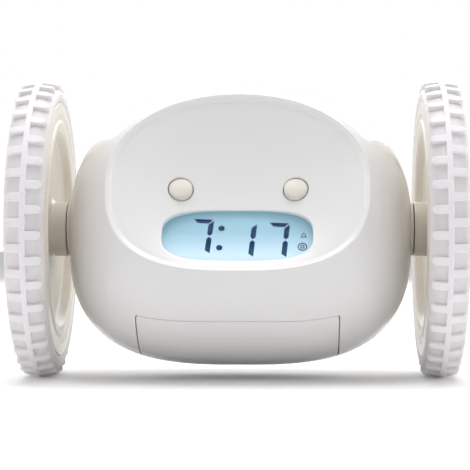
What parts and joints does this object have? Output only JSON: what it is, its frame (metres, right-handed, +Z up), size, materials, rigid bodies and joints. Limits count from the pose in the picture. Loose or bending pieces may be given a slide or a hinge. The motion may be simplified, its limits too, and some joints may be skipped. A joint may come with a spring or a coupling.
{
  "type": "runaway alarm clock",
  "caption": "Rounded alarm clock slung between large treaded drive wheels, with a hollowed face, a display window, eye-like buttons and a battery door underneath.",
  "frame": {"origin": "on the floor below the middle of the wheel axle, at the bottom centre of the bounding box", "axes": "+X along the wheel axle to the clock's left-hand wheel as it faces out (right in the picture), -Y to the front, +Z up"},
  "size_m": [0.1314, 0.089, 0.089],
  "materials": {
    "shell_white": "smooth gloss",
    "window_clear": "clear",
    "display_glass": "satin",
    "display_ink": "flat",
    "frame_grey": "satin",
    "strip_rubber": "matte",
    "board_green": "solder mask",
    "chip_black": "moulded",
    "switch_black": "moulded",
    "screw_steel": "bright",
    "shaft_steel": "ground",
    "motor_metal": "plated",
    "contact_metal": "plated",
    "cell_jacket": "satin",
    "gearbox_grey": "satin",
    "gear_nylon": "satin",
    "cone_paper": "matte",
    "button_cream": "satin",
    "hub_cream": "satin",
    "tyre_white": "matte"
  },
  "bodies": {
    "clock_body": {"front_shell": "shell_white", "rear_shell": "shell_white", "window_lens": "window_clear", "lcd_glass": "display_glass", "lcd_segments": "display_ink", "lcd_holder": "frame_grey", "contact_rubber": "strip_rubber", "main_board": "board_green", "clock_chip": "chip_black", "eye_switches": "switch_black", "board_screws": "screw_steel", "battery_tray": "frame_grey", "battery_cells": "cell_jacket", "contact_springs": "contact_metal", "contact_plates": "contact_metal", "gear_plate_inner_left": "gearbox_grey", "gear_plate_inner_right": "gearbox_grey", "gear_plate_outer_left": "gearbox_grey", "gear_plate_outer_right": "gearbox_grey", "gear_pillars": "gearbox_grey", "gear_screws": "screw_steel", "motor_left": "motor_metal", "motor_right": "motor_metal", "motor_cap_left": "switch_black", "motor_cap_right": "switch_black", "idler_pins": "shaft_steel", "axle_collar_left": "hub_cream", "axle_collar_right": "hub_cream", "speaker_frame": "switch_black", "speaker_cone": "cone_paper", "speaker_magnet": "motor_metal", "key_board": "board_green", "key_switches": "switch_black", "case_screws": "screw_steel"},
    "wheel_set_left": {"wheel_left": "hub_cream", "tyre_left": "tyre_white", "hub_cap_left": "hub_cream", "axle_left": "shaft_steel", "drive_gear_left": "gear_nylon", "wheel_screw_left": "screw_steel"},
    "idler_set_left": {"idler_left": "gear_nylon"},
    "rotor_set_left": {"rotor_left": "shaft_steel"},
    "eye_left": {"eye_button_left": "button_cream"},
    "wheel_set_right": {"wheel_right": "hub_cream", "tyre_right": "tyre_white", "hub_cap_right": "hub_cream", "axle_right": "shaft_steel", "drive_gear_right": "gear_nylon", "wheel_screw_right": "screw_steel"},
    "idler_set_right": {"idler_right": "gear_nylon"},
    "rotor_set_right": {"rotor_right": "shaft_steel"},
    "eye_right": {"eye_button_right": "button_cream"},
    "key_1": {"set_button_1": "button_cream"},
    "key_2": {"set_button_2": "button_cream"},
    "key_3": {"set_button_3": "button_cream"},
    "key_4": {"set_button_4": "button_cream"},
    "door": {"battery_door": "shell_white"}
  },
  "joints": [
    {"name": "wheel_left_spin", "type": "hinge", "parent": "clock_body", "child": "wheel_set_left", "pos_m": [-0.0599, 0, 0.0445], "axis": [1, 0, 0], "continuous": true},
    {"name": "wheel_right_spin", "type": "hinge", "parent": "clock_body", "child": "wheel_set_right", "pos_m": [0.0599, 0, 0.0445], "axis": [1, 0, 0], "continuous": true},
    {"name": "idler_left_spin", "type": "hinge", "parent": "clock_body", "child": "idler_set_left", "pos_m": [-0.034, 0.01474, 0.05482], "axis": [1, 0, 0], "continuous": true},
    {"name": "rotor_left_spin", "type": "hinge", "parent": "clock_body", "child": "rotor_set_left", "pos_m": [-0.0182, 0.02124, 0.04357], "axis": [1, 0, 0], "continuous": true},
    {"name": "eye_left_press", "type": "slide", "parent": "clock_body", "child": "eye_left", "axis": [0, 0.8026, -0.5965], "range_m": [0, 0.0006], "stiffness_N_per_m": 1500, "springref_m": -0.0003},
    {"name": "idler_right_spin", "type": "hinge", "parent": "clock_body", "child": "idler_set_right", "pos_m": [0.034, 0.01474, 0.05482], "axis": [1, 0, 0], "continuous": true},
    {"name": "rotor_right_spin", "type": "hinge", "parent": "clock_body", "child": "rotor_set_right", "pos_m": [0.0182, 0.02124, 0.04357], "axis": [1, 0, 0], "continuous": true},
    {"name": "eye_right_press", "type": "slide", "parent": "clock_body", "child": "eye_right", "axis": [0, 0.8026, -0.5965], "range_m": [0, 0.0006], "stiffness_N_per_m": 1500, "springref_m": -0.0003},
    {"name": "key_1_press", "type": "slide", "parent": "clock_body", "child": "key_1", "axis": [0, -1, 0], "range_m": [0, 0.0005], "stiffness_N_per_m": 1500, "springref_m": -0.0003},
    {"name": "key_2_press", "type": "slide", "parent": "clock_body", "child": "key_2", "axis": [0, -1, 0], "range_m": [0, 0.0005], "stiffness_N_per_m": 1500, "springref_m": -0.0003},
    {"name": "key_3_press", "type": "slide", "parent": "clock_body", "child": "key_3", "axis": [0, -1, 0], "range_m": [0, 0.0005], "stiffness_N_per_m": 1500, "springref_m": -0.0003},
    {"name": "key_4_press", "type": "slide", "parent": "clock_body", "child": "key_4", "axis": [0, -1, 0], "range_m": [0, 0.0005], "stiffness_N_per_m": 1500, "springref_m": -0.0003},
    {"name": "door_swing", "type": "hinge", "parent": "clock_body", "child": "door", "pos_m": [0, -0.03359, 0.01772], "axis": [-1, 0, 0], "range_deg": [0, 40]}
  ],
  "couplings": [
    {"joint": "idler_left_spin", "follows": "wheel_left_spin", "ratio": -4},
    {"joint": "rotor_left_spin", "follows": "wheel_left_spin", "ratio": 16.8},
    {"joint": "idler_right_spin", "follows": "wheel_right_spin", "ratio": -4},
    {"joint": "rotor_right_spin", "follows": "wheel_right_spin", "ratio": 16.8}
  ]
}
